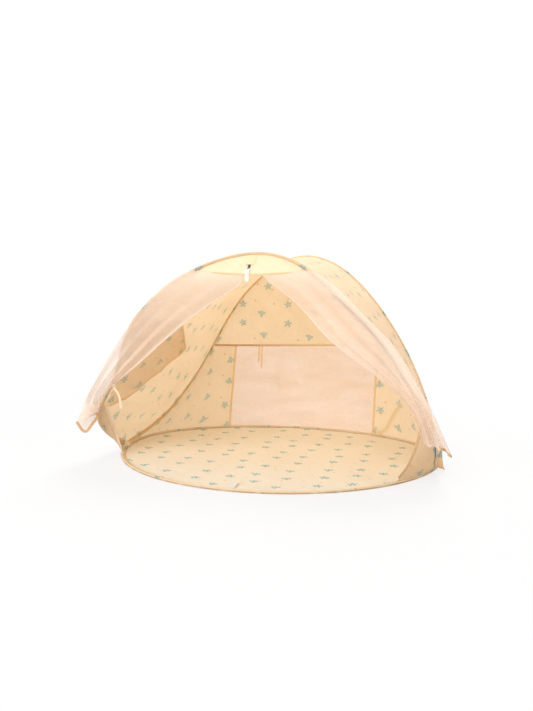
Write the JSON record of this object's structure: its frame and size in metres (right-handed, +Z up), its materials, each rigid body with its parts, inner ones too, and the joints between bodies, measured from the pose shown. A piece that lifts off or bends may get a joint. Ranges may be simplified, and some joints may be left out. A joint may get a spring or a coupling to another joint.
{
  "type": "beach tent",
  "caption": "Low pop-up beach tent with a round floor, two spring-wire arches, a printed canopy, a sheer back window and tied-back door curtains.",
  "frame": {"origin": "on the ground, at the middle of the floor ring's widest line, which lies 0.086 m nearer the front than the ring's middle", "axes": "+Z up; +X to the right of someone looking in at the door; +Y from the door to the back wall"},
  "size_m": [1.603, 1.2955, 0.9374],
  "materials": {
    "printed_cloth": "thin cream cotton with small scattered grey-teal and orange motifs",
    "sheer_voile": "sheer peach voile, slightly see-through",
    "plain_cream": "thin plain cream cotton",
    "brown_binding": "folded bias binding, orange-brown",
    "peach_tape": "peach twill tape",
    "white_tape": "white woven tape, bare",
    "spring_wire": "drawn spring-steel wire",
    "ferrule_steel": "crimped steel tube",
    "zip_metal": "dark enamelled metal"
  },
  "bodies": {
    "rear_half": {"floor_sheet": "printed_cloth", "floor_ring_sleeve": "printed_cloth", "floor_ring_wire": "spring_wire", "floor_ring_ferrule": "ferrule_steel", "rear_arch_sleeve": "printed_cloth", "rear_arch_wire_left": "spring_wire", "rear_arch_wire_right": "spring_wire", "arch_ring_ferrule": "ferrule_steel", "canopy": "printed_cloth", "inner_layer": "printed_cloth", "inner_layer_side_tape": "brown_binding", "inner_layer_foot_tape": "brown_binding", "back_upper_panel": "printed_cloth", "back_left_panel": "printed_cloth", "back_right_panel": "printed_cloth", "back_window": "sheer_voile", "window_top_tape": "brown_binding", "window_left_tape": "brown_binding", "window_right_tape": "brown_binding", "window_tie_a": "peach_tape", "window_tie_b": "peach_tape", "window_lower_tie": "peach_tape", "right_peg_tab": "printed_cloth", "left_foot_patch": "printed_cloth", "right_foot_patch": "printed_cloth"},
    "front_half": {"front_arch_sleeve": "printed_cloth", "front_arch_wire": "spring_wire", "front_valance": "plain_cream", "valance_patch": "plain_cream", "left_curtain": "sheer_voile", "left_curtain_hem": "brown_binding", "left_zip_tape": "peach_tape", "right_curtain": "sheer_voile", "right_curtain_hem": "brown_binding", "right_zip_tape": "peach_tape", "left_tie_tape": "peach_tape", "left_tie_knot": "peach_tape", "left_gusset": "printed_cloth", "left_gusset_tape": "peach_tape", "right_gusset": "printed_cloth", "right_gusset_tape": "brown_binding", "left_ring_loop": "white_tape", "floor_label": "white_tape", "zip_slider": "zip_metal"},
    "puller": {"zip_puller": "zip_metal", "zip_ribbon": "white_tape"}
  },
  "joints": [
    {"name": "front_fold", "type": "hinge", "parent": "rear_half", "child": "front_half", "pos_m": [0, -0.161, 0.022], "axis": [-1, 0, 0], "range_deg": [0, 50], "stiffness_Nm_per_rad": 4, "springref_deg": -14.32, "deforming": ["canopy", "inner_layer", "inner_layer_side_tape", "inner_layer_foot_tape", "floor_sheet", "floor_ring_sleeve", "floor_ring_wire"]},
    {"name": "zip_puller_swing", "type": "hinge", "parent": "front_half", "child": "puller", "pos_m": [-0.015, -0.45749, 0.88198], "axis": [-1, 0, 0], "range_deg": [0, 110]}
  ]
}
